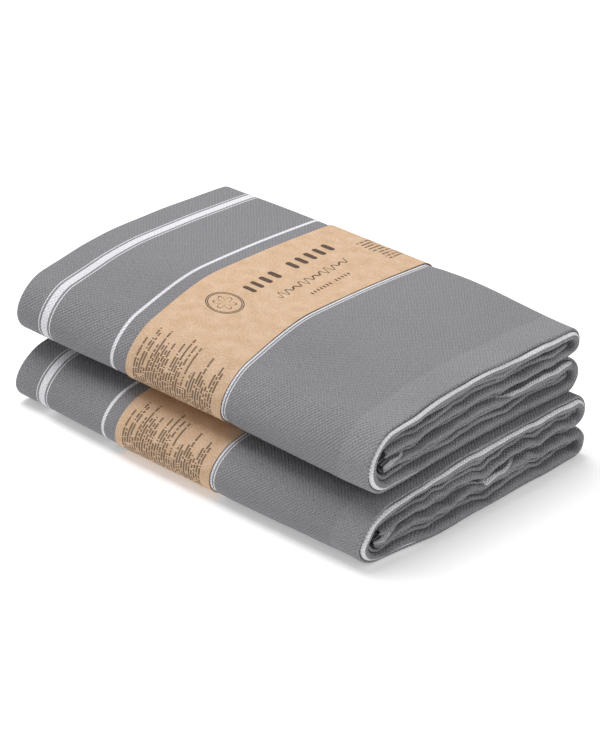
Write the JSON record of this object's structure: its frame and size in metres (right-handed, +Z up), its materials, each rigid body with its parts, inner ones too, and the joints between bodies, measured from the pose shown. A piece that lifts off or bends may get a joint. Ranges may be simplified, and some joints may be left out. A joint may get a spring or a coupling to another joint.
{
  "type": "quick dry towel",
  "caption": "Flat-woven bath towels folded flat and stacked, each wrapped in a paper belly band that slides off, with hemmed ends and inner care labels.",
  "frame": {"origin": "middle of the stack's footprint on the surface it lies on", "axes": "+X along the packs to the open hemmed ends, -Y to the final fold, +Z up"},
  "size_m": [0.368, 0.2428, 0.1052],
  "materials": {
    "cloth": "matte",
    "thread": "matte",
    "kraft_paper": "matte",
    "glue": "satin",
    "label_satin": "satin"
  },
  "bodies": {
    "lower_towel": {"lower_towel_cloth": "cloth", "lower_outer_hem_thread": "thread", "lower_inner_hem_thread": "thread", "lower_care_label": "label_satin"},
    "lower_band": {"lower_paper_band": "kraft_paper", "lower_band_glue": "glue"},
    "upper_towel": {"upper_towel_cloth": "cloth", "upper_outer_hem_thread": "thread", "upper_inner_hem_thread": "thread", "upper_care_label": "label_satin"},
    "upper_band": {"upper_paper_band": "kraft_paper", "upper_band_glue": "glue"}
  },
  "joints": [
    {"name": "upper_lift", "type": "slide", "parent": "lower_towel", "child": "upper_towel", "axis": [0, 0, 1], "range_m": [0, 0.12]},
    {"name": "lower_band_off", "type": "slide", "parent": "lower_towel", "child": "lower_band", "axis": [-1, 0, 0], "range_m": [0, 0.21]},
    {"name": "upper_band_off", "type": "slide", "parent": "upper_towel", "child": "upper_band", "axis": [-1, 0, 0], "range_m": [0, 0.21]}
  ]
}
